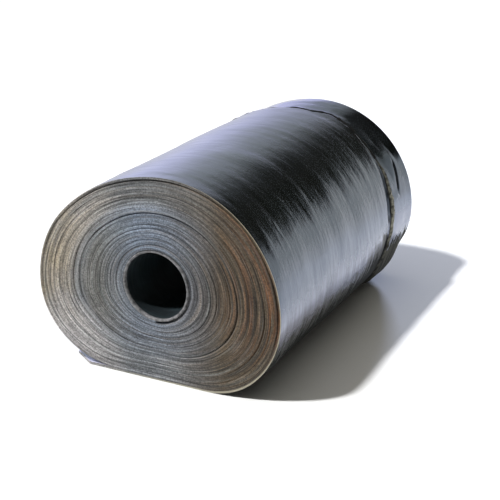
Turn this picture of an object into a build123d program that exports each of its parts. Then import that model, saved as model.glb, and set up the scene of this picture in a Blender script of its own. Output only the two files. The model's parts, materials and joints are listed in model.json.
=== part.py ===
"""A roll of bituminous roofing felt, lying on its side and sagged by its own weight.

The roll lies along Y with its open end towards -Y. The origin is on the floor, under the middle of the roll.
One strip of felt is wound into one solid. Seen from -Y the strip starts at its free end, flat on the floor at the
lower left, runs under the roll to the right, and winds in anticlockwise to the bore.
"""

import os
from math import cos, radians, sin

from build123d import *

# The strip of felt
felt_width = 300.0
felt_thickness = 2.5
loose_gap = 1.0  # play between two turns, where they lie tightest
stuck_gap = 0.4  # the last turn is stuck down, with only this much play under it

# The sagged roll, over all
roll_width = 218.0
roll_height = 170.0

# Where the sagged outline has its extremes
crown_shift = 11.0  # the highest point lies this far to the right of the middle
right_bulge_height = 71.0
left_bulge_height = 67.0
flat_left = 46.0  # the flat underside reaches this far to the left of the middle
flat_right = 44.0

# The bore, round and without a core
bore_diameter = 56.0
bore_height = 81.0
bore_shift = 1.0  # its axis lies this far to the right of the middle

# The ends of the strip and of the roll
tail_reach = 38.0  # how far the free end lies out beyond the flat underside
torn_edge_setback = 58.0  # the last turn is torn back this far from the far end
line_width = 1.0  # the line between two turns is open in a V on each end of the roll
line_depth = 1.8

# Worked out from the sizes above
bore_radius = bore_diameter / 2
near_end = -felt_width / 2
far_end = felt_width / 2
torn_edge = far_end - torn_edge_setback

# The wall of turns between the outline and the bore, on each side
wall_under = bore_height - bore_radius
wall_right = roll_width / 2 - bore_shift - bore_radius
wall_over = roll_height - bore_height - bore_radius
wall_left = roll_width / 2 + bore_shift - bore_radius

# The turns under the last one share out the slack of the sagged wall
turns = int(wall_under / (felt_thickness + loose_gap))
last_turn_depth = felt_thickness + stuck_gap

EIGHTH = 45  # degrees in an eighth of a turn


def depth_in(wall, turn, quarter):
    """How deep in its wall the strip's outer face lies, after whole turns from the outline and quarters of one."""
    if turn <= 1:
        return last_turn_depth * turn
    return last_turn_depth + (wall - last_turn_depth) * (turn - 1) / (turns - 1 - quarter / 4)


def between(outer, inner, share):
    """A value that goes from its outer to its inner one as share goes from 0 to 1."""
    return outer + (inner - outer) * share


def underside(turn):
    """Left end, right end and height of the flat stretch where this turn begins. Further in it soon rounds off."""
    depth = depth_in(wall_under, turn, 0)
    rounded_share = 1 - (1 - depth / wall_under) ** 2
    return between(-flat_left, bore_shift, rounded_share), between(flat_right, bore_shift, rounded_share), depth


def right_bulge(turn):
    """The turn's point furthest to the right."""
    depth = depth_in(wall_right, turn, 1)
    return roll_width / 2 - depth, between(right_bulge_height, bore_height, depth / wall_right)


def crown(turn):
    """The turn's highest point."""
    depth = depth_in(wall_over, turn, 2)
    return between(crown_shift, bore_shift, depth / wall_over), roll_height - depth


def left_bulge(turn):
    """The turn's point furthest to the left."""
    depth = depth_in(wall_left, turn, 3)
    return depth - roll_width / 2, between(left_bulge_height, bore_height, depth / wall_left)


def quarter_oval(centre_x, centre_z, half_width, half_height, start):
    """A quarter of an oval from the angle start, as two tangent arcs of an eighth of a turn each."""
    join_x = cos(radians(EIGHTH))
    join_z = sin(radians(EIGHTH))
    spare = join_x + join_z - 1
    side_radius = (half_height * join_x - half_width * (1 - join_z)) / spare
    cap_radius = (half_width * join_z - half_height * (1 - join_x)) / spare
    side_x = half_width - side_radius
    cap_z = half_height - cap_radius
    side_centre = (centre_x + side_x if start in (0, 270) else centre_x - side_x, centre_z)
    cap_centre = (centre_x, centre_z + cap_z if start in (0, 90) else centre_z - cap_z)
    arcs = [(side_centre, side_radius), (cap_centre, cap_radius)]
    if start in (90, 270):
        arcs.reverse()
    return [CenterArc(*arc, start + EIGHTH * count, EIGHTH) for count, arc in enumerate(arcs)]


def one_turn(turn):
    """One turn of the wound line: the flat underside and four quarter ovals, each with its own centre."""
    left, right, floor = underside(turn)
    next_left, _, next_floor = underside(turn + 1)
    right_x, right_z = right_bulge(turn)
    crown_x, crown_z = crown(turn)
    left_x, left_z = left_bulge(turn)
    return [
        Line((left, floor), (right, floor)),
        *quarter_oval(right, right_z, right_x - right, right_z - floor, 270),
        *quarter_oval(crown_x, right_z, right_x - crown_x, crown_z - right_z, 0),
        *quarter_oval(crown_x, left_z, crown_x - left_x, crown_z - left_z, 90),
        *quarter_oval(next_left, left_z, next_left - left_x, left_z - next_floor, 180),
    ]


def wound_line(first_turn, turn_count):
    """The wound line over several turns, as one list of edges."""
    return [edge for count in range(turn_count) for edge in one_turn(first_turn + count)]


def across_roll(y):
    """The upright plane across the roll at y, with X to the right and Z up in it."""
    return Plane(origin=(0, y, 0), x_dir=(1, 0, 0), z_dir=(0, -1, 0))


def along_roll(section, start, end):
    """The solid that a section across the roll sweeps out from start to end."""
    return extrude(across_roll(start) * section, amount=end - start, dir=(0, 1, 0))


def section_with_tail():
    """The section through the last turn, whose free end lies out flat on the floor."""
    left, _, floor = underside(0)
    next_left, _, next_floor = underside(1)
    tail_tip = left - tail_reach
    tail_top = floor + felt_thickness
    free_end = Polyline(
        (next_left, next_floor), (next_left, tail_top), (tail_tip, tail_top), (tail_tip, floor), (left, floor)
    )
    return make_face([*one_turn(0), *free_end.edges()])


def section_under_last_turn():
    """The section where the last turn is torn away, with a step at its lower left where the tear ended."""
    _, right, floor = underside(1)
    next_left, _, next_floor = underside(2)
    step_and_flat = Polyline((next_left, next_floor), (next_left, floor), (right, floor))
    return make_face([*one_turn(1)[1:], *step_and_flat.edges()])


def line_between_turns(first_turn, end, depth):
    """The V between the turns on one end, from the outside of the first turn to the turn that lines the bore."""
    route = wound_line(first_turn, turns - 1 - first_turn)
    path = Wire([across_roll(end) * edge for edge in route])
    start = path @ 0
    half_width = Vector(0, 0, line_width / 2)
    vee = Polyline(start - half_width, start + half_width, start + Vector(0, depth, 0), close=True)
    return sweep(make_face(vee.edges()), path=path)


def felt_roll():
    """The whole roll: the last turn with its tail, the turn under it, the bore, and the turns open on both ends."""
    roll = along_roll(section_with_tail(), near_end, torn_edge)
    roll += along_roll(section_under_last_turn(), torn_edge, far_end)
    roll -= along_roll(Pos(bore_shift, bore_height) * Circle(bore_radius), near_end, far_end)
    roll -= line_between_turns(1, near_end, line_depth)
    roll -= line_between_turns(2, far_end, -line_depth)
    return roll


os.makedirs("parts", exist_ok=True)
export_step(felt_roll(), "parts/felt_roll.step")
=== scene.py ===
"""The looks of a roll of bituminous roofing felt: its skin, torn edge and bore, and the turns on its ends.

Everything is in metres in the frame of the CAD part: the roll lies along Y with its near end towards -Y.
"""

import json
from functools import partial, reduce
from math import cos, pi, radians, sin, sqrt

import bpy
import numpy as np
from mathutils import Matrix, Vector


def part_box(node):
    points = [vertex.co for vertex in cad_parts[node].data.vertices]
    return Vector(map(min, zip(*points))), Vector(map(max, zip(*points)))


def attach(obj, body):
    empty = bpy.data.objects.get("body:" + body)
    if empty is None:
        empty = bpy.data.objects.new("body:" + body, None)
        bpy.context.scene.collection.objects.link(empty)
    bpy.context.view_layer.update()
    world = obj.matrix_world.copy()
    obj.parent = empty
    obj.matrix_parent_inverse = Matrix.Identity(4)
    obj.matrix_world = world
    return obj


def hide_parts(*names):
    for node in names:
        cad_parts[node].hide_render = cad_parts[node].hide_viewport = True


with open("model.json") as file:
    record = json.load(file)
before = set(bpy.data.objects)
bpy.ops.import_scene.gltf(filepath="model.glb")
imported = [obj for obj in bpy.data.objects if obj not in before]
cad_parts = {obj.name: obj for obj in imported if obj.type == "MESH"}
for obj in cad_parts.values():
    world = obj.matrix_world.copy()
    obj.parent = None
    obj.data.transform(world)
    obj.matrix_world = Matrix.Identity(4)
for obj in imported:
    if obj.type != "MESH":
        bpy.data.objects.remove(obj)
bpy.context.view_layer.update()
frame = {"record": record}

# Sizes that come from the frame
low_corner, high_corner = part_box("felt_roll")
ROLL_HALF_WIDTH = high_corner[0]
ROLL_HEIGHT = high_corner[2]
NEAR_END = low_corner[1]
FAR_END = high_corner[1]
bore_mount = next(mount for mount in frame["record"]["mounts"] if mount["name"] == "bore")
BORE_RADIUS = bore_mount["dims"]["r_mm"] / 1000
BORE_SHIFT = bore_mount["pos_m"][0]
BORE_HEIGHT = bore_mount["pos_m"][2]
BORE_CENTRE = np.array([BORE_SHIFT, BORE_HEIGHT])

# Sizes of the wound section, as in the part's source
TURNS = 15
FELT_THICKNESS = 0.0025
LAST_TURN_DEPTH = 0.0029
CROWN_SHIFT = 0.011
RIGHT_BULGE_HEIGHT = 0.071
LEFT_BULGE_HEIGHT = 0.067
FLAT_LEFT = 0.046
FLAT_RIGHT = 0.044
TAIL_REACH = 0.038
TORN_EDGE_SETBACK = 0.058

# Worked out from these sizes
TORN_EDGE = FAR_END - TORN_EDGE_SETBACK
WALL_UNDER = BORE_HEIGHT - BORE_RADIUS
WALL_RIGHT = ROLL_HALF_WIDTH - BORE_SHIFT - BORE_RADIUS
WALL_OVER = ROLL_HEIGHT - BORE_HEIGHT - BORE_RADIUS
WALL_LEFT = ROLL_HALF_WIDTH + BORE_SHIFT - BORE_RADIUS

# Fineness of the meshes
FLAT_STEPS = 24
QUARTER_STEPS = 60
TURN_STEPS = FLAT_STEPS + 4 * QUARTER_STEPS
TAIL_STEPS = 16
SKIN_ROWS = 230
SKIN_EDGE_ROWS = 14
BAND_ROWS = 110
BORE_ROWS = 60
SHORTEST_STEP = 1e-9  # a step between two points counts as at least this long

# The camera, fitted to the photograph
VIEW_TURN = radians(26.67)
VIEW_DIP = radians(20.7)
AIM = Vector((0.0169, -0.0173, 0.0694))
CAMERA_DISTANCE = 1.0
LENS_MM = 82.8
SENSOR_MM = 36.0
CLIP_END = 100.0


# The wound section

def depth_in(wall, turn, quarter):
    """How deep in a wall the strip's outer face lies, in the given turn and quarter from outside."""
    if turn <= 1:
        return LAST_TURN_DEPTH * turn
    return LAST_TURN_DEPTH + (wall - LAST_TURN_DEPTH) * (turn - 1) / (TURNS - 1 - quarter / 4)


def between(outer, inner, share):
    """A value that goes from its outer to its inner one as share goes from 0 to 1."""
    return outer + (inner - outer) * share


def underside(turn):
    """Left end, right end and height of the flat where a turn begins. Further in it soon rounds off."""
    depth = depth_in(WALL_UNDER, turn, 0)
    rounded_share = 1 - (1 - depth / WALL_UNDER) ** 2
    left = between(-FLAT_LEFT, BORE_SHIFT, rounded_share)
    right = between(FLAT_RIGHT, BORE_SHIFT, rounded_share)
    return left, right, depth


def level_line(x, z):
    """Points at places across the roll, all at one height."""
    return np.column_stack([x, np.full(len(x), z)])


def quarter_oval(centre_x, centre_z, half_width, half_height, start):
    """Points of a quarter oval of two tangent arcs, from an angle in degrees, without the first point."""
    join = sqrt(0.5)
    side_radius = (half_height * join - half_width * (1 - join)) / (2 * join - 1)
    cap_radius = (half_width * join - half_height * (1 - join)) / (2 * join - 1)
    angles = np.radians(start + 90 * np.arange(1, QUARTER_STEPS + 1) / QUARTER_STEPS)
    across = np.cos(angles)
    upwards = np.sin(angles)
    side = 1 if start in (0, 270) else -1
    cap = 1 if start in (0, 90) else -1
    on_side = np.abs(across) >= np.abs(upwards)
    side_x = centre_x + side * (half_width - side_radius) + side_radius * across
    cap_z = centre_z + cap * (half_height - cap_radius) + cap_radius * upwards
    x = np.where(on_side, side_x, centre_x + cap_radius * across)
    z = np.where(on_side, centre_z + side_radius * upwards, cap_z)
    return np.column_stack([x, z])


def turn_line(turn):
    """Points along one turn of the wound line, from its flat underside to where the next turn begins."""
    left, right, floor = underside(turn)
    next_left, _, next_floor = underside(turn + 1)
    right_depth = depth_in(WALL_RIGHT, turn, 1)
    over_depth = depth_in(WALL_OVER, turn, 2)
    left_depth = depth_in(WALL_LEFT, turn, 3)
    right_x = ROLL_HALF_WIDTH - right_depth
    right_z = between(RIGHT_BULGE_HEIGHT, BORE_HEIGHT, right_depth / WALL_RIGHT)
    crown_x = between(CROWN_SHIFT, BORE_SHIFT, over_depth / WALL_OVER)
    crown_z = ROLL_HEIGHT - over_depth
    left_x = left_depth - ROLL_HALF_WIDTH
    left_z = between(LEFT_BULGE_HEIGHT, BORE_HEIGHT, left_depth / WALL_LEFT)
    flat = level_line(np.linspace(left, right, FLAT_STEPS + 1), floor)
    return np.vstack([
        flat,
        quarter_oval(right, right_z, right_x - right, right_z - floor, 270),
        quarter_oval(crown_x, right_z, right_x - crown_x, crown_z - right_z, 0),
        quarter_oval(crown_x, left_z, crown_x - left_x, crown_z - left_z, 90),
        quarter_oval(next_left, left_z, next_left - left_x, left_z - next_floor, 180),
    ])


# Shares, noise and outlines

def held(share):
    """A share held between 0 and 1."""
    return np.clip(share, 0, 1)


def eased(share):
    """A share held between 0 and 1 that starts and ends gently."""
    share = held(share)
    return share * share * (3 - 2 * share)


def window(values, first, last, ease):
    """1 well between two ends and 0 outside them, with an even slope of the given length at each."""
    return held((values - first) / ease) * held((last - values) / ease)


def bell(values, middle, half_width, power=2):
    """1 in the middle and nearly 0 past twice the half width. A higher power makes its top flatter."""
    return np.exp(-(((values - middle) / half_width) ** power))


def soft_noise(seed, positions, spacing):
    """Smooth noise between -1 and 1 along one line of positions, with a random value every spacing."""
    place = (positions - positions.min()) / spacing
    left = place.astype(int)
    values = np.random.default_rng(seed).uniform(-1, 1, left.max() + 2)
    share = eased(place - left)
    return values[left] * (1 - share) + values[left + 1] * share


def soft_field(seed, u, v, u_spacing, v_spacing):
    """Smooth noise between -1 and 1 over a sheet, with a random value at every spacing each way."""
    u_place = (u - u.min()) / u_spacing
    v_place = (v - v.min()) / v_spacing
    i = u_place.astype(int)
    j = v_place.astype(int)
    values = np.random.default_rng(seed).uniform(-1, 1, (i.max() + 2, j.max() + 2))
    a = eased(u_place - i)
    b = eased(v_place - j)
    lower = values[i, j] * (1 - a) + values[i + 1, j] * a
    upper = values[i, j + 1] * (1 - a) + values[i + 1, j + 1] * a
    return lower * (1 - b) + upper * b


def waver(layers, positions, first_seed=0):
    """Noise along a line, in layers of a seed, a height and a spacing."""
    return sum(height * soft_noise(first_seed + seed, positions, spacing) for seed, height, spacing in layers)


def relief(layers, uvs):
    """Noise over a sheet, in layers of a seed, a height, and spacings round the roll and along it."""
    u = uvs[..., 0]
    v = uvs[..., 1]
    return sum(height * soft_field(seed, u, v, *spacings) for seed, height, *spacings in layers)


def lengths_along(line):
    """The length run along a line of points, up to each of them."""
    steps = np.linalg.norm(np.diff(line, axis=0), axis=1)
    return np.concatenate([[0.0], np.cumsum(steps)])


def finer(line, step):
    """The same line of section points with one about every step."""
    along = lengths_along(line)
    places = np.linspace(0, along[-1], int(along[-1] / step) + 1)
    return np.column_stack([np.interp(places, along, line[:, 0]), np.interp(places, along, line[:, 1])])


def outward(line, closed=True):
    """Unit vectors at right angles to a line of section points that runs anticlockwise."""
    if closed:
        along = np.roll(line, -1, axis=0) - np.roll(line, 1, axis=0)
    else:
        along = np.gradient(line, axis=0)
    normals = np.column_stack([along[:, 1], -along[:, 0]])
    return normals / np.maximum(np.linalg.norm(normals, axis=1, keepdims=True), SHORTEST_STEP)


class Outline:
    """Section points, their outward vectors, the degrees that these face and the length run to each point."""

    def __init__(self, points, normals):
        self.points = points
        self.normals = normals
        self.angles = np.degrees(np.arctan2(normals[:, 1], normals[:, 0]))
        self.around = lengths_along(points)

    def raised(self, heights, y):
        """Rows of points at heights over the outline and at y along the roll, never below the floor."""
        x = self.points[:, 0] + self.normals[:, 0] * heights
        z = self.points[:, 1] + self.normals[:, 1] * heights
        return np.stack(np.broadcast_arrays(x, y, np.maximum(z, 0)), axis=-1)

    def uvs(self, y):
        """The strip's coordinates in metres, round the outline and along the roll, for rows of y."""
        return np.stack([np.broadcast_to(self.around, y.shape), y], axis=-1)


# Pieces

def scene_object(name, data):
    """A new object in the scene."""
    made = bpy.data.objects.new(name, data)
    bpy.context.scene.collection.objects.link(made)
    return made


def mesh_piece(name, points, faces, uvs, material, shares=None):
    """A mesh piece that stands for the roll, with a UV pair in metres and named shares for each point."""
    mesh = bpy.data.meshes.new(name)
    mesh.from_pydata(points.tolist(), [], faces.tolist())
    layer = mesh.uv_layers.new(name="strip")
    layer.data.foreach_set("uv", uvs[faces.reshape(-1)].astype(np.float32).reshape(-1))
    for share_name, values in (shares or {}).items():
        attribute = mesh.attributes.new(share_name, "FLOAT", "POINT")
        attribute.data.foreach_set("value", values.astype(np.float32).ravel())
    mesh.shade_smooth()
    mesh.materials.append(material)
    piece = scene_object(name, mesh)
    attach(piece, "root")
    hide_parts("felt_roll")
    return piece


def sheet_piece(name, points, uvs, material, closed=False, flip=False, shares=None):
    """A mesh piece from rows of points."""
    rows, columns = points.shape[:2]
    index = np.arange(rows * columns).reshape(rows, columns)
    if closed:
        index = np.hstack([index, index[:, :1]])
    quads = np.stack([index[:-1, :-1], index[:-1, 1:], index[1:, 1:], index[1:, :-1]], axis=-1)
    quads = quads.reshape(-1, 4)
    if flip:
        quads = quads[:, ::-1]
    return mesh_piece(name, points.reshape(-1, 3), quads, uvs.reshape(-1, 2), material, shares)


def paint(piece, plain_names, choice):
    """Plain materials added to a piece's own, and which of them all each of its faces has."""
    for name in plain_names:
        piece.data.materials.append(plain_material(name))
    piece.data.polygons.foreach_set("material_index", choice.astype(np.int32).ravel())


# Material nodes

USUAL_ROUGHNESS = 0.55  # of a noise


def new_tree(name):
    """A new material and its node tree, with only the output left in it."""
    material = bpy.data.materials.new(name)
    material.use_nodes = True
    tree = material.node_tree
    for old in list(tree.nodes):
        if old.type != "OUTPUT_MATERIAL":
            tree.nodes.remove(old)
    return material, tree


def feed(tree, socket, value):
    """A socket set to a value, or linked where the value is another node's socket."""
    if isinstance(value, bpy.types.NodeSocket):
        tree.links.new(value, socket)
    else:
        socket.default_value = value


def node(tree, kind, inputs=None, **settings):
    """A new node with its settings and its inputs."""
    made = tree.nodes.new("ShaderNode" + kind)
    for name, value in settings.items():
        setattr(made, name, value)
    for key, value in (inputs or {}).items():
        feed(tree, made.inputs[key], value)
    return made


def noise(tree, scales, detail, roughness=USUAL_ROUGHNESS):
    """Noise between about 0 and 1, with scales along the strip and across it, or one for the whole roll."""
    if isinstance(scales, tuple):
        place = node(tree, "UVMap", uv_map="strip").outputs[0]
        scales = (*scales, 1)
    else:
        place = node(tree, "TexCoord").outputs["Object"]
        scales = (scales, scales, scales)
    scaled_place = node(tree, "Mapping", {"Vector": place, "Scale": scales}).outputs[0]
    inputs = {"Vector": scaled_place, "Scale": 1.0, "Detail": detail, "Roughness": roughness}
    return node(tree, "TexNoise", inputs).outputs["Fac"]


def patterns(tree, noises, shares=()):
    """The values that a material follows, by name: its noises, and the shares that the mesh holds."""
    values = {name: noise(tree, *settings) for name, settings in noises.items()}
    for name in shares:
        values[name] = node(tree, "Attribute", attribute_name=name).outputs["Fac"]
    return values


def ramp(tree, value, low, high, out_low=0.0, out_high=1.0):
    """A value run evenly from one range to another, and held at its ends."""
    inputs = {"Value": value, "From Min": low, "From Max": high, "To Min": out_low, "To Max": out_high}
    return node(tree, "MapRange", inputs, clamp=True).outputs[0]


def math(tree, operation, first, second=0.0):
    """Two values put together by an operation such as ADD, or one value changed by it."""
    return node(tree, "Math", {0: first, 1: second}, operation=operation).outputs[0]


def times(tree, first, second):
    """Two values multiplied."""
    return math(tree, "MULTIPLY", first, second)


def mix(tree, share, first, second):
    """A colour between two others."""
    made = node(tree, "Mix", data_type="RGBA")
    for socket, value in zip((made.inputs[0], made.inputs[6], made.inputs[7]), (share, first, second)):
        feed(tree, socket, value)
    return made.outputs[2]


def with_areas(tree, base, values, areas):
    """A base colour with areas of other colours on it, each over a share that is a product of ramps."""
    for area_colour, ramps in areas:
        shares = [ramp(tree, values[name], *limits) for name, limits in ramps.items()]
        base = mix(tree, reduce(partial(times, tree), shares), base, area_colour)
    return base


def scaled(tree, base, factor):
    """A colour made lighter or darker by a factor."""
    return node(tree, "VectorMath", {0: base, "Scale": factor}, operation="SCALE").outputs[0]


def bumped(tree, values, heights):
    """A normal with layers of bumps on each other, each from a named value and the height of 1 in metres."""
    layer = {}
    for name, height in heights.items():
        made = node(tree, "Bump", {"Height": values[name], "Distance": height, "Strength": 1.0, **layer})
        layer = {"Normal": made.outputs[0]}
    return layer["Normal"]


def surface(tree, **inputs):
    """The finished surface, joined to the material's output."""
    shader = node(tree, "BsdfPrincipled", {name.replace("_", " "): value for name, value in inputs.items()})
    tree.links.new(shader.outputs[0], tree.nodes["Material Output"].inputs["Surface"])


def colour(red, green, blue):
    """An opaque colour."""
    return (red, green, blue, 1.0)


# Materials

# A noise has its scales, detail and roughness, and a bump its height in metres. A ramp has two values, and
# what it gives there if not 0 and 1. An area has its colour, and the ramps whose product is its share.

BITUMEN_SHINE = {"IOR": 2.30, "Specular_Tint": colour(0.60, 0.74, 1.0)}
# pale dust on the free end, and also a painted highlight on the skin and the bared turn low on the right
PALE_DUST_AND_SHEEN = colour(0.63, 0.62, 0.76)
SKIN_SHINE = {**BITUMEN_SHINE, "Coat_Weight": 0.3, "Coat_IOR": 1.7, "Coat_Roughness": 0.13}
AS_IT_IS = (0.0, 1.0)  # the ramp that leaves a share as it is
STROKES = ((30.0, 260.0), 4.0, 0.60)

SKIN_NOISES = {
    "strokes": STROKES,
    "broad_strokes": ((24.0, 100.0), 3.0),
    "streaks": ((10.0, 620.0), 5.0, 0.65),
    "patches": (18.0, 4.0),
    "grain": (900.0, 2.0),
}
SKIN_BLACK = colour(0.008, 0.009, 0.0075)
SKIN_AREAS = (
    (colour(0.024, 0.027, 0.026), {"streaks": (0.45, 0.75), "patches": (0.4, 0.7)}),
    (colour(0.045, 0.052, 0.050), {"grain": (0.60, 0.74, 0.0, 0.5)}),
    # pale dust on the free end, and a painted highlight low on the right
    (PALE_DUST_AND_SHEEN, {"dust_and_sheen": AS_IT_IS}),
)
STROKE_ROUGHNESS = (0.30, 0.70, 0.11, 0.22)
STREAK_ROUGHNESS = (0.3, 0.7, -0.03, 0.06)  # added to that of the strokes
WORN_ROUGHNESS = 0.18  # the skin is this much rougher where it is worn
TORN_ROUGHNESS = 0.8  # and at least this rough where it is dull
STROKES_LEFT = (0.0, 1.0, 1.0, 0.12)  # how much of the strokes' relief is left where it is worn
SKIN_BUMPS = {
    "patches": 0.0011, "broad_left": 0.0006, "fine_left": 0.00012, "streaks": 0.00005, "grain": 0.00008,
}


def skin_material():
    """The glossy black bitumen of the last turn, brushed along the strip, worn on its top and left, with pale
    dust on its free end and a painted highlight low on the right.
    """
    material, tree = new_tree("bitumen_skin")
    values = patterns(tree, SKIN_NOISES, ("worn", "dull", "dust_and_sheen"))
    base = with_areas(tree, SKIN_BLACK, values, SKIN_AREAS)
    stroke_rough = ramp(tree, values["strokes"], *STROKE_ROUGHNESS)
    rough = math(tree, "ADD", stroke_rough, ramp(tree, values["streaks"], *STREAK_ROUGHNESS))
    rough = math(tree, "ADD", rough, times(tree, values["worn"], WORN_ROUGHNESS))
    rough = math(tree, "MAXIMUM", rough, times(tree, values["dull"], TORN_ROUGHNESS))
    strokes_left = ramp(tree, values["worn"], *STROKES_LEFT)
    values["broad_left"] = times(tree, values["broad_strokes"], strokes_left)
    values["fine_left"] = times(tree, values["strokes"], strokes_left)
    normal = bumped(tree, values, SKIN_BUMPS)
    surface(tree, Base_Color=base, Roughness=rough, Normal=normal, Coat_Normal=normal, **SKIN_SHINE)
    return material


STROKE_MARKS = (STROKES, (0.4, 0.7))
RIM_MARKS = ((260.0, 4.0), (0.35, 0.65))
PLAIN_LOOKS = {  # dark and pale colour, the noise that marks them with its ramp, roughness and shine
    # these two bitumen looks are painted shade: darker, duller bitumen low on the right, where the skin
    # reflects the contact shadow
    "bitumen_half_painted_shade": (colour(0.010, 0.011, 0.011), colour(0.062, 0.066, 0.066), STROKE_MARKS, 0.42, 0.5),
    "bitumen_painted_shade": (colour(0.006, 0.0065, 0.006), colour(0.030, 0.033, 0.030), STROKE_MARKS, 0.7, 0.15),
    # felt stuck to the bared turn, which also paints the shade reflected low on its right
    "stuck_felt_and_shade": (colour(0.014, 0.014, 0.012), colour(0.115, 0.112, 0.090), STROKE_MARKS, 0.8, 0.15),
    "bore_rim": (colour(0.075, 0.076, 0.080), colour(0.25, 0.25, 0.26), RIM_MARKS, 0.75, 0.5),
}
PLAIN_BUMPS = {"marks": 0.0003}


def plain_material(name):
    """Dull bitumen that paints shade low on the right, stuck felt that also paints shade there, or cut felt,
    marked by one noise between two colours.
    """
    dark, pale, (marks, limits), roughness, shine = PLAIN_LOOKS[name]
    material, tree = new_tree(name)
    values = patterns(tree, {"marks": marks})
    base = with_areas(tree, dark, values, ((pale, {"marks": limits}),))
    normal = bumped(tree, values, PLAIN_BUMPS)
    surface(tree, Base_Color=base, Roughness=roughness, Specular_IOR_Level=shine, Normal=normal)
    return material


BAND_NOISES = {
    "streaks": ((10.0, 260.0), 4.0),
    "patches": (22.0, 3.0),
    "fibres": ((70.0, 420.0), 4.0),
}
BAND_BLACK = colour(0.006, 0.0065, 0.006)
BAND_PATCHES = (colour(0.014, 0.016, 0.017), {"patches": (0.4, 0.7)})
DULL_GREY = colour(0.018, 0.026, 0.027)
DULL_FIBRES = (colour(0.052, 0.067, 0.068), {"fibres": (0.3, 0.7)})
BAND_ROUGHNESS = (0.3, 0.7, 0.08, 0.20)
DULL_ROUGHNESS = 0.6
BAND_BUMPS = {"patches": 0.0015, "streaks": 0.00012}


def band_material():
    """The turn under the torn edge: smoother, with a dull grey patch beside its crack, and a pale painted
    highlight low on its right.
    """
    material, tree = new_tree("bitumen_bared")
    values = patterns(tree, BAND_NOISES, ("dull", "dust_and_sheen"))
    grey = with_areas(tree, DULL_GREY, values, (DULL_FIBRES,))
    # the pale colour on top is a painted highlight, where the turn reflects the floor
    on_top = ((grey, {"dull": AS_IT_IS}), (PALE_DUST_AND_SHEEN, {"dust_and_sheen": AS_IT_IS}))
    base = with_areas(tree, BAND_BLACK, values, (BAND_PATCHES, *on_top))
    gloss_rough = ramp(tree, values["streaks"], *BAND_ROUGHNESS)
    rough = math(tree, "MAXIMUM", gloss_rough, times(tree, values["dull"], DULL_ROUGHNESS))
    normal = bumped(tree, values, BAND_BUMPS)
    surface(tree, Base_Color=base, Roughness=rough, Normal=normal, **BITUMEN_SHINE)
    return material


TORN_NOISES = {"clumps": (300.0, 4.0, 0.65), "fibres": (1500.0, 3.0)}
SOAKED_BLACK = colour(0.008, 0.008, 0.008)
DRY_BROWN = colour(0.035, 0.036, 0.028)
DRY_AREAS = (
    (colour(0.52, 0.51, 0.41), {"clumps": (0.36, 0.60)}),
    (colour(0.70, 0.69, 0.60), {"fibres": (0.5, 0.8, 0.0, 0.6)}),
)
TORN_BUMPS = {"clumps": 0.0008}


def torn_material():
    """The torn felt core: tan and grey fibres where it is dry, and black where bitumen has soaked it."""
    material, tree = new_tree("felt_torn")
    values = patterns(tree, TORN_NOISES, ("dry",))
    dry_felt = with_areas(tree, DRY_BROWN, values, DRY_AREAS)
    base = mix(tree, values["dry"], SOAKED_BLACK, dry_felt)
    normal = bumped(tree, values, TORN_BUMPS)
    surface(tree, Base_Color=base, Roughness=0.85, Specular_IOR_Level=0.1, Normal=normal)
    return material


TURN_IN_UV = 0.005  # each turn takes up this much of the strip's UV across
CLEAR_LINE = 7  # the line outside this turn stands out all round
CLEAR_LINE_SHIFT = 0.16  # and is this much of a turn further in
EDGE_NOISES = {
    "lines": ((12.0, 560.0), 5.0, 0.68),
    "fine_lines": ((26.0, 1500.0), 3.0),
    "dark_lines": ((8.0, 760.0), 3.0),
    "stains": ((15.0, 300.0), 4.0),
    "tints": ((9.0, 210.0), 4.0, 0.60),
    "patches": (26.0, 5.0, 0.60),
    "grain": (800.0, 3.0, 0.70),
}
INNER_BLUE = colour(0.153, 0.186, 0.240)
OUTER_GREY = colour(0.160, 0.166, 0.172)
LOWER_GREY = colour(0.150, 0.162, 0.180)
MIDDLE_GREY = colour(0.135, 0.135, 0.128)
LEFT_GREY = colour(0.345, 0.332, 0.330)
DUSTY_TAN = colour(0.275, 0.238, 0.178)
RIGHT_BROWN = colour(0.068, 0.050, 0.031)
LOW_LEFT_PALE = colour(0.44, 0.425, 0.43)
WARM_TINT = colour(0.240, 0.185, 0.125)
COOL_TINT = colour(0.120, 0.150, 0.155)
EDGE_AREAS = (
    (OUTER_GREY, {"turn": (7.6, 5.0)}),
    (LOWER_GREY, {"z": (0.075, 0.02, 0.0, 0.7), "x": (-0.07, -0.02)}),
    (MIDDLE_GREY, {"x": (-0.015, -0.05), "turn": (6.0, 9.0)}),
    # lighter grey on the left: partly dust, partly painted light falling from the left
    (LEFT_GREY, {"x": (-0.025, -0.07), "turn": (7.6, 5.0)}),
    (DUSTY_TAN, {"x": (-0.03, -0.09), "z": (0.02, 0.05), "patches": (0.25, 0.55), "turn": (9.0, 5.5)}),
    # darker brown on the right and paler low on the left: partly stains, partly painted light falling from
    # the left
    (RIGHT_BROWN, {"x": (0.0, 0.06)}),
    (LOW_LEFT_PALE, {"x": (-0.03, -0.07), "z": (0.06, 0.03, 0.0, 0.6)}),
    (WARM_TINT, {"tints": (0.54, 0.68, 0.0, 0.30)}),
    (COOL_TINT, {"tints": (0.46, 0.34, 0.0, 0.28)}),
)
LINE_SHADE = (0.37, 0.63, 0.30, 1.66)
GRAIN_SHADE = (0.3, 0.7, 0.36, 1.58)
PATCH_SHADE = (0.3, 0.7, 0.84, 1.16)
RUST = (0.150, 0.062, 0.022)
RUST_PLACE = {"x": (0.052, 0.100), "z": (0.025, 0.06), "stains": (0.44, 0.58, 0.0, 0.9)}
DARK_LINE = colour(0.022, 0.024, 0.025)
PALE_LINE = colour(0.40, 0.40, 0.40)
CLEAR_LINE_HIGHLIGHT = colour(0.36, 0.37, 0.38)
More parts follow.
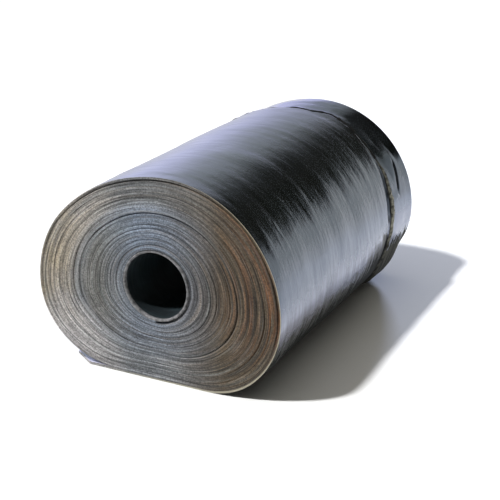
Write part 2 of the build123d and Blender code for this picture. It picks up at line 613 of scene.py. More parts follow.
LAST_TURN_HIGHLIGHT = colour(0.40, 0.375, 0.29)
EDGE_MARKS = (
    (DARK_LINE, {"dark_lines": (0.57, 0.68, 0.0, 0.7)}),
    (PALE_LINE, {"fine_lines": (0.56, 0.72, 0.0, 0.5), "x": (0.09, 0.0, 0.35, 1.0)}),
    # a painted highlight on the lip just inside the line that stands out, stronger on the left
    (CLEAR_LINE_HIGHLIGHT, {"from_clear_line": (0.20, 0.06), "x": (0.0, 0.05, 0.38, 0.08)}),
    # a painted highlight in tan where the last turn's cut edge catches light, stronger on the right
    (LAST_TURN_HIGHLIGHT, {"turn": (0.60, 0.48, 0.0, 0.85), "x": (-0.05, 0.03, 0.15, 1.0)}),
    (PALE_DUST_AND_SHEEN, {"turn": (0.0, -0.02, 0.0, 0.85)}),
)
EDGE_BUMPS = {"lines": 0.0005, "grain": 0.0002}


def edge_material():
    """The cut edges of the turns: blue-grey felt with thin lines, tan dust on the left and rust on the right,
    lighter on the left and darker on the right partly from painted light, and painted highlights along two
    lines.
    """
    material, tree = new_tree("felt_edges")
    values = patterns(tree, EDGE_NOISES)
    strip = node(tree, "SeparateXYZ", {0: node(tree, "UVMap", uv_map="strip").outputs[0]}).outputs
    place = node(tree, "SeparateXYZ", {0: node(tree, "TexCoord").outputs["Object"]}).outputs
    values["x"] = place["X"]
    values["z"] = place["Z"]
    values["turn"] = math(tree, "DIVIDE", strip["Y"], TURN_IN_UV)
    past_clear_line = math(tree, "SUBTRACT", values["turn"], CLEAR_LINE + CLEAR_LINE_SHIFT)
    values["from_clear_line"] = math(tree, "ABSOLUTE", past_clear_line)
    base = with_areas(tree, INNER_BLUE, values, EDGE_AREAS)
    shade = times(tree, ramp(tree, values["lines"], *LINE_SHADE), ramp(tree, values["grain"], *GRAIN_SHADE))
    base = scaled(tree, base, times(tree, shade, ramp(tree, values["patches"], *PATCH_SHADE)))
    shaded_rust = scaled(tree, RUST, shade)
    base = with_areas(tree, base, values, ((shaded_rust, RUST_PLACE), *EDGE_MARKS))
    surface(tree, Base_Color=base, Roughness=0.82, Normal=bumped(tree, values, EDGE_BUMPS))
    return material


BORE_NOISES = {"patches": (40.0, 4.0), "streaks": ((20.0, 420.0), 4.0)}
BORE_DARK = colour(0.008, 0.013, 0.016)
BORE_PATCHES = (colour(0.024, 0.038, 0.045), {"patches": (0.35, 0.65)})
BORE_ROUGHNESS = (0.3, 0.7, 0.45, 0.65)
BORE_BUMPS = {"patches": 0.001, "streaks": 0.0001}


def bore_material():
    """The dark inner face of the innermost turn."""
    material, tree = new_tree("bore_face")
    values = patterns(tree, BORE_NOISES)
    base = with_areas(tree, BORE_DARK, values, (BORE_PATCHES,))
    rough = ramp(tree, values["streaks"], *BORE_ROUGHNESS)
    surface(tree, Base_Color=base, Roughness=rough, Normal=bumped(tree, values, BORE_BUMPS))
    return material


# The skin of the last turn

# FACES are the first and last degrees that a surface faces, 0 to the right and 90 up, and any slope there.

EDGE_ROUNDING = 0.0004  # the outermost corner of the near end is this much rounded
FLOOR_CONTACT = 0.0001  # points up to this far over the tail's top still belong to the tail
FLOOR_EASE = 0.03  # dents fade out below this height
END_EASE = 0.012  # and this near to the ends of the roll
SKIN_RELIEF = ((0, 0.0010, 0.070, 0.090), (1, 0.0004, 0.045, 0.022), (2, 0.00012, 0.050, 0.007))
FINE_ROWS_FROM = 0.97  # the rows lie closer past this share of the skin's length
EDGE_DROP_SHARES = (0.15, 0.5, 1.0)  # rows down the torn edge, in shares of the felt's thickness
TORN_COURSE = (  # degrees that the skin faces, and how far the torn edge runs past its mean there
    (-180, 0.0), (-70, -0.014), (-28, -0.019), (-11, -0.014), (2, -0.010), (13, -0.005), (31, 0.0),
    (47, 0.001), (62, 0.005), (73, 0.010), (82, 0.0), (98, 0.002), (140, 0.004), (180, 0.0),
)
TORN_WAVER = ((3, 0.0012, 0.016), (4, 0.0006, 0.006))
CREASE_SETBACK = 0.0030  # a crease runs this far back from the torn edge
CREASE_WIDTH = 0.0018
CREASE_DEPTH = 0.0020
DULL_EDGE = 0.00825  # the skin is dull this far back from its torn edge
DULL_EDGE_EASE = 0.0055  # and less so over this length
DUST_REACH = 0.12  # pale dust lies on the free end over this length from the near end
FACING_DOWN = -0.9  # but not where the skin's outward vector points lower than this
DRY_FACES = (-34, 38, 10)  # where the torn fibres are dry and pale
DRY_BEHIND = 0.7  # how dry they are on the left
DRY_BEHIND_FROM = 110  # which begins this many degrees from the right
DRY_BEHIND_EASE = 20
DRY_MEAN = 0.75
DRY_LEAST = 0.2
DRY_WAVER = ((23, 0.5, 0.02),)
BRUSHED = ((7, 0.5, 0.030, 0.0040), (8, 0.5, 0.040, 0.0012))
LOW_FACES = (-100, -26)  # where the skin is dull and dark, low down on the right: painted shade for the reflected contact shadow
LOW_RAGGED = 14  # how ragged its edges are, in degrees
LOW_RISE = 16  # its upper edge rises by this many degrees to the torn edge
LOW_RISE_REACH = 0.09  # over this length
HALF_DULL_RISE = 8  # for this many degrees above, the skin is half dull, a lighter painted shade
HALF_DULL_BRUSHED = ((9, 1.0, 0.035, 0.0014),)
SKIN_SHEEN_FACES = (-22, 9, 13)  # where a pale painted highlight lies, just above, standing in for the floor's reflection
SKIN_SHEEN_SHARE = 0.48
SKIN_SHEEN_MEAN = 0.8
SKIN_SHEEN_STREAKS = 0.6  # how much more or less of it there is in streaks
SKIN_SHEEN_MOST = 1.3
WORN_FROM = 52  # the skin is worn where it faces this many degrees or more from the right
WORN_EASE = 35
TAIL_CUT = 0.013  # the near corner of the free end is cut back this far
TAIL_CUT_REACH = 0.020  # and over this much of its reach


def tail_cut_at(x):
    """How far the near end of the tail is cut back, at each place across the roll."""
    tail_tip = -FLAT_LEFT - TAIL_REACH
    return TAIL_CUT * held((tail_tip + TAIL_CUT_REACH - x) / TAIL_CUT_REACH)


def torn_edge_at(outline):
    """Where along the roll the torn edge lies, at each point round it."""
    degrees, offsets = zip(*TORN_COURSE)
    course = np.interp(outline.angles, degrees, offsets)
    return TORN_EDGE + course + waver(TORN_WAVER, outline.around)


def dryness(outline):
    """How dry and pale the torn fibres are, from 0 to 1, at each point round the roll."""
    on_right = window(outline.angles, *DRY_FACES)
    behind = DRY_BEHIND * held((np.abs(outline.angles) - DRY_BEHIND_FROM) / DRY_BEHIND_EASE)
    return held(on_right + behind) * np.clip(DRY_MEAN + waver(DRY_WAVER, outline.around), DRY_LEAST, 1)


def skin_outline():
    """The closed outline of the last turn, with its free end flat on the floor."""
    left, _, floor = underside(0)
    next_left, _, _ = underside(1)
    tail_tip = left - TAIL_REACH
    underneath = level_line(np.linspace(tail_tip, left, TAIL_STEPS + 1)[:-1], floor)
    on_top = level_line(np.linspace(next_left, tail_tip, TAIL_STEPS + 1), floor + FELT_THICKNESS)
    points = np.vstack([underneath, turn_line(0), on_top])
    return Outline(points, outward(points))


def on_floor(outline):
    """Which points of the outline lie on the floor or on the tail."""
    return outline.points[:, 1] <= FELT_THICKNESS + FLOOR_CONTACT


def skin_heights(outline, uvs, start, edge):
    """How far the skin stands over its outline: dents where it is clear of the floor, and the crease."""
    y = uvs[..., 1]
    off_floor = held(outline.points[:, 1] / FLOOR_EASE)
    dents = relief(SKIN_RELIEF, uvs) * off_floor * held((y - start) / END_EASE)
    crease = CREASE_DEPTH * dryness(outline) * off_floor * bell(y, edge - CREASE_SETBACK, CREASE_WIDTH)
    return dents - crease


def skin_shares(outline, uvs, start, edge, brushed):
    """How dull at the torn edge, how much pale dust and painted highlight, and how worn each point of the
    skin is, from 0 to 1.
    """
    y = uvs[..., 1]
    dull = held((DULL_EDGE - edge + y) / DULL_EDGE_EASE) * dryness(outline)
    on_tail = on_floor(outline) & (outline.normals[:, 1] > FACING_DOWN)
    # a painted highlight of pale colour, where the skin reflects the floor low on the right
    painted_sheen = SKIN_SHEEN_SHARE * window(outline.angles, *SKIN_SHEEN_FACES)
    painted_sheen = painted_sheen * np.clip(SKIN_SHEEN_MEAN + SKIN_SHEEN_STREAKS * brushed, 0, SKIN_SHEEN_MOST)
    dust_and_sheen = np.maximum(on_tail * held(1 - (y - start) / DUST_REACH), painted_sheen)
    worn = held((np.abs(outline.angles) - WORN_FROM) / WORN_EASE)
    return {"dull": dull, "dust_and_sheen": dust_and_sheen, "worn": np.broadcast_to(worn, y.shape)}


def skin_choice(outline, uvs, edge, brushed):
    """Which material each point of the skin has: 0 for glossy, 1 for half dull and 2 for dull; the dull ones
    are painted shade low on the right.
    """
    first, last = LOW_FACES
    last = last + LOW_RISE * held(1 - (edge - uvs[..., 1]) / LOW_RISE_REACH)
    ragged = outline.angles + LOW_RAGGED * brushed
    half_ragged = outline.angles + LOW_RAGGED * (brushed + relief(HALF_DULL_BRUSHED, uvs)) / 2
    half_dull = (half_ragged > first) & (half_ragged < last + HALF_DULL_RISE)
    return np.where((ragged > first) & (ragged < last), 2, half_dull)


def last_turn():
    """The last turn's skin, from the near end to its torn edge and down that edge."""
    outline = skin_outline()
    edge = torn_edge_at(outline)
    start = NEAR_END + EDGE_ROUNDING + tail_cut_at(outline.points[:, 0]) * on_floor(outline)
    coarse_rows = np.linspace(0, FINE_ROWS_FROM, SKIN_ROWS)[:-1]
    fine_rows = np.linspace(FINE_ROWS_FROM, 1, SKIN_EDGE_ROWS)
    row_shares = np.concatenate([coarse_rows, fine_rows])[:, None]
    uvs = outline.uvs(start + (edge - start) * row_shares)
    brushed = relief(BRUSHED, uvs)
    shares = skin_shares(outline, uvs, start, edge, brushed)
    choice = skin_choice(outline, uvs, edge, brushed)
    drops = FELT_THICKNESS * np.array(EDGE_DROP_SHARES)[:, None]
    edge_ones = np.ones((len(drops), len(edge)))
    edge_shares = {"dull": edge_ones, "dust_and_sheen": 0 * edge_ones, "worn": shares["worn"][0] * edge_ones}
    skin = outline.raised(skin_heights(outline, uvs, start, edge), uvs[..., 1])
    points = np.vstack([skin, outline.raised(-drops, edge)])
    all_uvs = np.vstack([uvs, outline.uvs(edge + drops)])
    all_shares = {name: np.vstack([values, edge_shares[name]]) for name, values in shares.items()}
    piece = sheet_piece("last_turn", points, all_uvs, skin_material(), closed=True, shares=all_shares)
    edge_choice = np.repeat(choice[-1:], len(drops) - 1, axis=0)
    paint(piece, ("bitumen_half_painted_shade", "bitumen_painted_shade"), np.vstack([choice, edge_choice]))


# The torn edge

FRINGE_STEP = 0.0012
FRINGE_PROFILE = (  # distance past the torn edge, height over the skin, how beaded it is, and how dry
    (-0.0010, -0.0008, 0.0, 0.0), (0.0008, -0.0006, 0.0001, 0.0), (0.0028, -0.0006, 0.0002, 0.0),
    (0.0040, -0.0004, 0.0006, 0.8), (0.0060, -0.0002, 0.0011, 1.0), (0.0082, -0.0001, 0.0012, 1.0),
    (0.0104, -0.0003, 0.0011, 1.0), (0.0120, -0.0008, 0.0007, 0.8), (0.0132, -0.0015, 0.0003, 0.0),
    (0.0146, -0.0024, 0.0001, 0.0), (0.0160, -0.0036, 0.0, 0.0),
)
FRINGE_WAVER = ((30, 0.0006, 0.0026),)
BEAD_MEAN = 0.45
BEAD_WAVER = ((21, 0.6, 0.0035), (22, 0.35, 0.012))
BEAD_MOST = 1.3
GAP_MEAN = 0.85  # dry felt shows between black gaps
GAPS = ((24, 0.9, 0.0024, 2.0),)  # whose second spacing is in rows of the fringe
WET_WIDTH = 0.4  # where it is black with bitumen the fringe is only this share as wide
CLEAR_OF_FLOOR = 0.006
FIBRES = 1400
FIBRE_SEED = 40
FIBRE_MARGIN = 2  # none begins nearer than this many points to an end of the fringe
FIBRE_LENGTHS = (0.0009, 0.0039)
FIBRE_SWAYS = (-0.8, 0.8)  # how far they lean along the edge, in shares of their length
FIBRE_LIFTS = (0.0002, 0.0011)
FIBRE_SETOUT = 0.0105  # where on the fringe they begin
FIBRE_WIDTH = 0.00026
FIBRE_SINK = 0.0016  # their roots lie this far below the skin
FIBRE_DROOP = 0.0008  # and their tips this much lower still
FIBRE_SHAPE = ((0.0, 0.0, 1.0), (0.5, 1.0, 0.8), (1.0, 0.2, 0.0))  # places along it, its lift and its width
FIBRE_CORNERS = 3


def free_outline():
    """The last turn's outline in fine steps, where it is clear of the floor."""
    line = finer(turn_line(0), FRINGE_STEP)
    normals = outward(line, closed=False)
    clear = line[:, 1] > CLEAR_OF_FLOOR
    return Outline(line[clear], normals[clear])


def torn_fringe(material):
    """The strip of torn felt along the edge, which covers the step down to the bared turn."""
    outline = free_outline()
    dry = dryness(outline)
    past, height, bead_height, row_dry = np.array(FRINGE_PROFILE).T[:, :, None]
    ragged = np.array([waver(FRINGE_WAVER, outline.around, row) for row in range(len(FRINGE_PROFILE))])
    y = torn_edge_at(outline) + between(WET_WIDTH, 1.0, dry) * past + ragged
    beads = np.clip(BEAD_MEAN + waver(BEAD_WAVER, outline.around), 0, BEAD_MOST)
    rows = np.broadcast_to(np.arange(len(FRINGE_PROFILE))[:, None], y.shape)
    gaps = held(GAP_MEAN + relief(GAPS, outline.uvs(rows)))
    points = outline.raised(height + bead_height * beads, y)
    sheet_piece("torn_fringe", points, outline.uvs(y), material, shares={"dry": row_dry * dry * gaps})


def fibre_triangles():
    """The faces of one fibre: its closed root, two rounds of corners and its tip."""
    tip = 2 * FIBRE_CORNERS
    triangles = [(0, 2, 1)]
    for corner in range(FIBRE_CORNERS):
        other = (corner + 1) % FIBRE_CORNERS
        triangles.append((corner, other, other + FIBRE_CORNERS))
        triangles.append((corner, other + FIBRE_CORNERS, corner + FIBRE_CORNERS))
        triangles.append((corner + FIBRE_CORNERS, other + FIBRE_CORNERS, tip))
    return np.array(triangles)


def torn_fibres(material):
    """Short loose fibres that lie out from the torn edge over the bared turn."""
    outline = free_outline()
    dry = dryness(outline)
    setout = torn_edge_at(outline) + between(WET_WIDTH, 1.0, dry) * FIBRE_SETOUT
    draw = np.random.default_rng(FIBRE_SEED)
    roots = draw.integers(FIBRE_MARGIN, len(outline.points) - FIBRE_MARGIN, FIBRES)
    lengths = draw.uniform(*FIBRE_LENGTHS, FIBRES)
    sways = draw.uniform(*FIBRE_SWAYS, FIBRES)
    lifts = draw.uniform(*FIBRE_LIFTS, FIBRES)
    points = []
    uvs = []
    for root, length, sway, lift in zip(roots, lengths, sways, lifts):
        normal = outline.normals[root]
        along = np.array([-normal[1], normal[0]])
        for place, rise, width_share in FIBRE_SHAPE:
            height = lift * rise - FIBRE_SINK - FIBRE_DROOP * place
            middle = outline.points[root] + normal * height + along * length * sway * place
            y = setout[root] + length * place
            for corner in range(FIBRE_CORNERS if width_share else 1):
                turned = 2 * pi * corner / FIBRE_CORNERS
                x, z = middle + (along * cos(turned) + normal * sin(turned)) * FIBRE_WIDTH * width_share / 2
                points.append((x, y, z))
                uvs.append((outline.around[root], y))
    points_each = len(points) // FIBRES
    faces = np.concatenate([points_each * np.arange(FIBRES)[:, None] + face for face in fibre_triangles()])
    shares = {"dry": np.repeat(dry[roots], points_each)}
    mesh_piece("torn_fibres", np.array(points), faces, np.array(uvs), material, shares)


# The turn that the torn edge lays bare

BAND_TUCK = 0.03  # it is modelled this far in under the last one
BAND_RELIEF = ((60, 0.0008, 0.060, 0.030), (61, 0.0003, 0.030, 0.012))
CRACK_COURSE = (  # degrees that the turn faces, and how far a crack in it lies past the mean torn edge there
    (0, 0.028), (13, 0.0285), (19, 0.030), (29, 0.0375), (40, 0.0445), (60, 0.050),
)
CRACK_WAVER = ((51, 0.0007, 0.006),)
CRACK_FACES = (12, 33, 6)
CRACK_WIDTH = 0.0015
CRACK_DEPTH = 0.0021
DENT_PLACE = (46, 13)  # a dent under the torn edge: its middle and half width, in degrees
DENT_DEPTH = 0.0024
SAG_PLACE = (-50, 17)  # the turn hangs loose low down on the right: its middle and half width
SAG_DEPTH = 0.0080
SAG_FROM = 0.003  # this far past the torn edge it begins to
SAG_EASE = 0.016  # and it eases in and out over this length
DULL_FROM = 0.004  # a dull patch begins this far past the torn edge and ends at the crack
DULL_SOFTNESS = 0.004
DULL_FACES = (8, 42, 8)
MOTTLE_MEAN = 0.7
MOTTLE = ((66, 0.5, 0.012, 0.006),)
BAND_SHEEN_FACES = (-20, 9, 9)  # where a pale painted highlight lies, standing in for the floor's reflection
BAND_SHEEN_SHARE = 0.32
BAND_SHEEN_MEAN = 0.9
BAND_SHEEN_MOTTLE = 0.4  # how much more or less of it there is with the mottling
STUCK_SHADE_FACES = (-80, -19)  # where black felt still sticks to the turn and also paints the shade reflected there
STUCK_SHADE_RAGGED = ((67, 7, 0.012, 0.0022),)  # its height is in degrees


def bared_outline():
    """The closed outline of the bared turn, with a step at its lower left where the tear ended."""
    _, _, floor = underside(1)
    next_left, _, _ = underside(2)
    points = np.vstack([turn_line(1)[1:], [[next_left, floor]]])
    return Outline(points, outward(points))


def bared_heights(outline, uvs, edge, crack):
    """How far the bared turn stands over its outline: waves, a dent, the loose lower right and a crack."""
    y = uvs[..., 1]
    waves = relief(BAND_RELIEF, uvs) - DENT_DEPTH * bell(outline.angles, *DENT_PLACE)
    sag = SAG_DEPTH * bell(outline.angles, *SAG_PLACE)
    sag = sag * eased((y - edge - SAG_FROM) / SAG_EASE) * eased((FAR_END - y) / SAG_EASE)
    crack_open = CRACK_DEPTH * window(outline.angles, *CRACK_FACES) * bell(y, crack, CRACK_WIDTH)
    return waves * held((FAR_END - y) / END_EASE) + sag - crack_open


def bared_shares(outline, uvs, edge, crack):
    """How dull each point of the bared turn is, and how much painted highlight it has, from 0 to 1."""
    y = uvs[..., 1]
    past_edge = held((y - edge - DULL_FROM) / DULL_SOFTNESS)
    before_crack = held((crack - y) / DULL_SOFTNESS)
    mottled = MOTTLE_MEAN + relief(MOTTLE, uvs)
    dull = past_edge * before_crack * held(window(outline.angles, *DULL_FACES) * mottled)
    # a painted highlight of pale colour, low on the right
    dust_and_sheen = BAND_SHEEN_SHARE * window(outline.angles, *BAND_SHEEN_FACES) * held(BAND_SHEEN_MEAN + BAND_SHEEN_MOTTLE * mottled)
    return {"dull": dull, "dust_and_sheen": dust_and_sheen}


def bared_band():
    """The turn that lies bare past the torn edge, cracked on its right, with felt stuck to it lower down that
    also paints the shade reflected there.
    """
    outline = bared_outline()
    edge = torn_edge_at(outline)
    degrees, offsets = zip(*CRACK_COURSE)
    crack = TORN_EDGE + np.interp(outline.angles, degrees, offsets) + waver(CRACK_WAVER, outline.around)
    y = np.linspace(TORN_EDGE - BAND_TUCK, FAR_END, BAND_ROWS)[:, None] + np.zeros(len(edge))
    uvs = outline.uvs(y)
    points = outline.raised(bared_heights(outline, uvs, edge, crack), y)
    shares = bared_shares(outline, uvs, edge, crack)
    piece = sheet_piece("bared_band", points, uvs, band_material(), closed=True, shares=shares)
    ragged = outline.angles + relief(STUCK_SHADE_RAGGED, uvs)
    first, last = STUCK_SHADE_FACES
    stuck_and_shade = (ragged > first) & (ragged < last)
    paint(piece, ("stuck_felt_and_shade",), stuck_and_shade[:-1])


# The turns on the ends

RIB_PLACES = (0.0, 0.03, 0.07, 0.12, 0.2, 0.28, 0.36, 0.44, 0.5, 0.56, 0.64, 0.72, 0.8, 0.88, 0.93, 0.97, 1.0)
GROOVE_SHARE = 0.12  # each side of the line between two turns slopes over this share of a turn
CLEAR_GROOVE_SHARE = 0.20  # and this share beside the line that stands out
LAST_GROOVE_SHARE = 0.42  # and this share inside the last turn
GROOVE_CURVE = 1.5
WOUND_WAVER = ((0, 0.0007, 0.11), (1, 0.00035, 0.035))
LINE_DEPTH = 0.0003  # the line between two turns is at least this deep
LINE_OPENING = 0.0009  # and up to this much more in places
LINE_OPEN_MEAN = 0.3
LINE_OPEN_WAVER = ((2, 1.0, 0.07),)
RIGHT_OPENING = 0.0016  # and up to this much more on the right
RIGHT_OPEN_MEAN = 0.1
RIGHT_OPEN_WAVER = ((5, 1.0, 0.09),)
RIGHT_FROM = 0.02
RIGHT_EASE = 0.05
CLEAR_DEPTH = 0.0018  # the line that stands out is this much deeper
CLEAR_TURNS = (CLEAR_LINE + 0.5, 0.5)  # the middle and half width of that, in turns
LOOSE_DEPTH = 0.0022  # the line under the last turn is this much deeper
LOOSE_TURNS = (1.5, 0.25)
FLAT_TOPPED = 4  # the power of a bell with a flat top
TURN_SETBACK = 0.0004  # the turns' edges lie this far in from the end
TURN_WAVER = ((3, 0.0004, 0.21), (4, 0.0002, 0.03))
RIB_WAVER = ((10, 0.00025, 0.012),)
PLY_GROOVES = (0.36, 0.64)  # the felt splits a little between its plies
PLY_WAVER = ((40, 0.0006, 0.12),)
RIM_GAP = 0.0032  # the innermost turn stands off the turns round it
RIM_DEPTH = 0.005


def wound_spiral(seed):
    """The outer face of the strip over all turns, a little uneven, and last the ring round the bore."""
    spiral = np.vstack([turn_line(turn)[:-1] for turn in range(TURNS)])
    turn = np.arange(len(spiral)) / TURN_STEPS
    uneven = waver(WOUND_WAVER, lengths_along(spiral), seed) * held(turn - 1)
    spiral = spiral + outward(spiral, closed=False) * uneven[:, None]
    from_axis = spiral[-TURN_STEPS:] - BORE_CENTRE
    directions = from_axis / np.linalg.norm(from_axis, axis=1, keepdims=True)
    ring = BORE_CENTRE + directions * (BORE_RADIUS + RIM_GAP)
    return np.vstack([spiral, ring])


def groove_depths(seed, first_turn, spiral):
    """How deep the line outside each turn is open, along the strip."""
    along = lengths_along(spiral)
    turn = np.arange(len(spiral)) / TURN_STEPS
    depths = LINE_DEPTH + LINE_OPENING * held(LINE_OPEN_MEAN + waver(LINE_OPEN_WAVER, along, seed))
    on_right = held((spiral[:, 0] - RIGHT_FROM) / RIGHT_EASE)
    depths += RIGHT_OPENING * on_right * held(RIGHT_OPEN_MEAN + waver(RIGHT_OPEN_WAVER, along, seed))
    depths += CLEAR_DEPTH * bell(turn, *CLEAR_TURNS, FLAT_TOPPED)
    depths += LOOSE_DEPTH * bell(turn, *LOOSE_TURNS, FLAT_TOPPED)
    depths[turn >= TURNS] = RIM_DEPTH
    depths[turn < first_turn + 1] = EDGE_ROUNDING
    return depths


def turns_on_end(name, seed, first_turn, end, inwards, material):
    """The edges of the wound turns on one end, as one long ribbon that follows the strip in to the bore."""
    spiral = wound_spiral(seed)
    depths = groove_depths(seed, first_turn, spiral)
    outside = slice(first_turn * TURN_STEPS, -TURN_STEPS)
    inside = slice((first_turn + 1) * TURN_STEPS, None)
    turn = (np.arange(len(spiral)) / TURN_STEPS)[outside]
    outer = spiral[outside]
    inner = spiral[inside]
    outer_depth = depths[outside]
    inner_depth = depths[inside]
    if first_turn == 0:
        left, _, floor = underside(0)
        tail_x = np.linspace(left - TAIL_REACH, left, TAIL_STEPS + 1)[:-1]
        tail_depth = np.full(TAIL_STEPS, EDGE_ROUNDING)
        outer = np.vstack([level_line(tail_x, floor), outer])
        inner = np.vstack([level_line(tail_x, floor + FELT_THICKNESS), inner])
        outer_depth = np.concatenate([tail_depth, outer_depth])
        inner_depth = np.concatenate([tail_depth, inner_depth])
        turn = np.concatenate([turn[0] - np.arange(TAIL_STEPS, 0, -1) / TURN_STEPS, turn])
        end = end + np.concatenate([tail_cut_at(tail_x), np.zeros(len(outer) - TAIL_STEPS)])
    along = lengths_along(outer)
    setback = TURN_SETBACK + waver(TURN_WAVER, along, seed)
    beside_clear_line = np.abs(turn - CLEAR_LINE) <= 1
    outer_share = np.where(beside_clear_line, CLEAR_GROOVE_SHARE, GROOVE_SHARE)
    inner_share = np.where(turn < 1, LAST_GROOVE_SHARE, outer_share)
    points = []
    uvs = []
    for row, place in enumerate(RIB_PLACES):
        outer_slope = held(1 - place / outer_share) ** GROOVE_CURVE
        inner_slope = held(1 - (1 - place) / inner_share) ** GROOVE_CURVE
        rough = np.abs(waver(RIB_WAVER, along, seed + row))
        if place in PLY_GROOVES:
            rough = rough + np.maximum(waver(PLY_WAVER, along, seed + row), 0)
        top = (setback + rough) * (1 - outer_slope - inner_slope)
        depth = top + outer_depth * outer_slope + inner_depth * inner_slope
        section = between(outer, inner, place)
        points.append(np.column_stack([section[:, 0], end + inwards * depth, section[:, 1]]))
        uvs.append(np.column_stack([along, (turn + place) * TURN_IN_UV]))
    sheet_piece(name, np.array(points), np.array(uvs), material, flip=inwards < 0)


# The bore

RIM_PROFILE = (  # distance out from the bore, and depth in from the end
    (RIM_GAP, RIM_DEPTH), (0.0022, 0.0048), (0.0018, 0.0015), (0.0013, 0.0003), (0.0006, 0.0), (0.0, 0.0002),
    (-0.0004, 0.0008), (-0.0007, 0.0018), (-0.0004, 0.0030), (0.0, 0.0040),
)


def bore_outline():
    """The bore's round outline, with vectors that point out from its middle."""
    angles = np.linspace(0, 2 * pi, 4 * QUARTER_STEPS, endpoint=False)
    directions = np.column_stack([np.cos(angles), np.sin(angles)])
    return Outline(BORE_CENTRE + directions * BORE_RADIUS, directions)


def bore_rim(name, end, inwards, material):
    """The edge of the innermost turn on one end of the bore."""
    outline = bore_outline()
    out, depth = np.array(RIM_PROFILE).T[:, :, None]
    y = end + inwards * depth + np.zeros(len(outline.points))
    sheet_piece(name, outline.raised(out, y), outline.uvs(y), material, closed=True, flip=inwards > 0)


def bore_lining():
    """The inner face of the innermost turn, all along the bore."""
    outline = bore_outline()
    _, rim_end = RIM_PROFILE[-1]
    y = np.linspace(NEAR_END + rim_end, FAR_END - rim_end, BORE_ROWS)[:, None] + np.zeros(len(outline.points))
    sheet_piece("bore_lining", outline.raised(0, y), outline.uvs(y), bore_material(), closed=True, flip=True)


last_turn()
felt_torn = torn_material()
torn_fringe(felt_torn)
torn_fibres(felt_torn)
bared_band()
felt_edges = edge_material()
turns_on_end("near_turns", seed=100, first_turn=0, end=NEAR_END, inwards=1, material=felt_edges)
turns_on_end("far_turns", seed=200, first_turn=1, end=FAR_END, inwards=-1, material=felt_edges)
pale_rim = plain_material("bore_rim")
bore_rim("near_rim", end=NEAR_END, inwards=1, material=pale_rim)
bore_rim("far_rim", end=FAR_END, inwards=-1, material=pale_rim)
bore_lining()


# Floor, light and camera

FLOOR_HALF = 12.0
FLOOR_WHITE = colour(0.92, 0.92, 0.92)
KEY_DIRECTION = Vector((-0.37, -0.425, 0.82)).normalized()
KEY_STRENGTH = 3.6
KEY_ANGLE = radians(4.5)
FILL_AIM = Vector((0.12, 0.20, 0.0))
FILL_DIRECTION = Vector((-0.25, 0.895, 0.371))
FILL_DISTANCE = 2.0
FILL_WATTS = 135.0
FILL_TINT = (0.64, 0.73, 1.0)
FILL_CONE = radians(30)
FILL_SOFTNESS = 0.5
FILL_RADIUS = 0.16
SURROUND_TINT = colour(1.0, 0.975, 0.88)
SURROUND_FRONT = 0.09
SURROUND_BACK = 0.006
SURROUND_FADE = (0.05, 0.6)  # places to the back between which it goes from one to the other
SKYLIGHT = 0.51  # the surround is softly lit straight above
SKYLIGHT_FROM = (0.66, 0.92)  # heights between which that grows
BACKDROP_TINT = colour(0.97, 0.98, 0.93)
BACKDROP_GLOW = 0.86  # it is nearly white low down at the back
BACKDROP_TOP = (0.19, 0.31)  # heights between which that fades
BACKDROP_FROM = (0.0, 0.35)  # places to the back between which it begins
LEFT_GLOW = 1.55  # and brighter still, and higher, at the back left
LEFT_GLOW_TOP = (0.40, 0.72)
LEFT_FROM = (-0.02, -0.25)  # places to the left between which that begins
LEFT_GLOW_END = (0.825, 0.875)  # places to the back between which it fades to a share
LEFT_END_SHARE = 0.5
LEFT_LOW_TINT = colour(0.70, 0.71, 1.0)  # low down it turns lavender
LEFT_HIGH_TINT = colour(0.82, 0.87, 0.84)
LEFT_TINT_TOP = (0.20, 0.46)


def white_floor():
    """A large plain white floor without any gloss."""
    material, tree = new_tree("white_floor")
    surface(tree, Base_Color=FLOOR_WHITE, Roughness=1.0, Specular_IOR_Level=0.0)
    corners = [(-1, -1), (1, -1), (1, 1), (-1, 1)]
    mesh = bpy.data.meshes.new("floor")
    mesh.from_pydata([(x * FLOOR_HALF, y * FLOOR_HALF, 0) for x, y in corners], [], [(0, 1, 2, 3)])
    mesh.materials.append(material)
    floor = scene_object("floor", mesh)


def key_light():
    """The main light, from the front left above."""
    light = bpy.data.lights.new("key", "SUN")
    light.energy = KEY_STRENGTH
    light.angle = KEY_ANGLE
    lamp = scene_object("key", light)
    lamp.rotation_euler = KEY_DIRECTION.to_track_quat("Z", "Y").to_euler()


def floor_fill():
    """A weaker light from the back left, which only lights the floor at the far right."""
    light = bpy.data.lights.new("floor_fill", "SPOT")
    light.energy = FILL_WATTS
    light.color = FILL_TINT
    light.spot_size = FILL_CONE
    light.spot_blend = FILL_SOFTNESS
    light.shadow_soft_size = FILL_RADIUS
    lamp = scene_object("floor_fill", light)
    lamp.location = FILL_AIM + FILL_DIRECTION * FILL_DISTANCE
    lamp.rotation_euler = FILL_DIRECTION.to_track_quat("Z", "Y").to_euler()
    lamp.visible_glossy = False


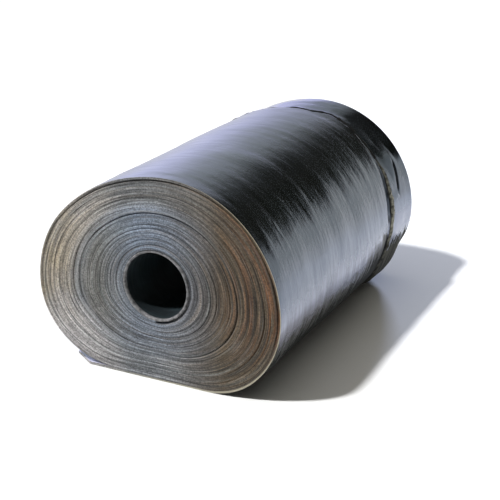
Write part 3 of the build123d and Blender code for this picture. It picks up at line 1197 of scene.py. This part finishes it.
def studio_world():
    """A dim surround, lit in front and above, with a low pale backdrop that only shows in the gloss."""
    world = bpy.data.worlds.new("studio")
    world.use_nodes = True
    tree = world.node_tree
    direction = node(tree, "SeparateXYZ", {0: node(tree, "TexCoord").outputs["Generated"]})
    x, y, z = (direction.outputs[axis] for axis in "XYZ")
    front = ramp(tree, y, *SURROUND_FADE, SURROUND_FRONT, SURROUND_BACK)
    surround = math(tree, "ADD", front, ramp(tree, z, *SKYLIGHT_FROM, 0.0, SKYLIGHT))
    low = ramp(tree, z, *BACKDROP_TOP, BACKDROP_GLOW, 0.0)
    on_left = ramp(tree, x, *LEFT_FROM)
    left_glow = times(tree, ramp(tree, z, *LEFT_GLOW_TOP, LEFT_GLOW, 0.0), on_left)
    low_left = times(tree, left_glow, ramp(tree, y, *LEFT_GLOW_END, 1.0, LEFT_END_SHARE))
    left_tint = mix(tree, ramp(tree, z, *LEFT_TINT_TOP), LEFT_LOW_TINT, LEFT_HIGH_TINT)
    backdrop_tint = mix(tree, on_left, BACKDROP_TINT, left_tint)
    behind = ramp(tree, y, *BACKDROP_FROM)
    rays = node(tree, "LightPath").outputs
    in_gloss = math(tree, "MAXIMUM", rays["Is Glossy Ray"], rays["Is Transmission Ray"])
    glow = times(tree, math(tree, "ADD", low, low_left), behind)
    backdrop = times(tree, glow, in_gloss)
    both = node(tree, "AddShader")
    for count, (tint, strength) in enumerate(((SURROUND_TINT, surround), (backdrop_tint, backdrop))):
        light = node(tree, "Background", {"Color": tint, "Strength": strength})
        tree.links.new(light.outputs[0], both.inputs[count])
    white = node(tree, "Background", {"Color": colour(1.0, 1.0, 1.0), "Strength": 1.0})
    shown = node(tree, "MixShader", {0: rays["Is Camera Ray"], 1: both.outputs[0], 2: white.outputs[0]})
    tree.links.new(shown.outputs[0], tree.nodes["World Output"].inputs["Surface"])
    bpy.context.scene.world = world


def camera():
    """The camera, level and without shift, at the photograph's angle."""
    view = Vector((-sin(VIEW_TURN) * cos(VIEW_DIP), cos(VIEW_TURN) * cos(VIEW_DIP), -sin(VIEW_DIP)))
    data = bpy.data.cameras.new("camera")
    data.lens = LENS_MM
    data.sensor_width = SENSOR_MM
    data.clip_end = CLIP_END
    made = scene_object("camera", data)
    made.location = AIM - view * CAMERA_DISTANCE
    made.rotation_euler = (pi / 2 - VIEW_DIP, 0, VIEW_TURN)
    bpy.context.scene.camera = made


white_floor()
key_light()
floor_fill()
studio_world()
camera()
bpy.context.scene.view_settings.view_transform = "Standard"
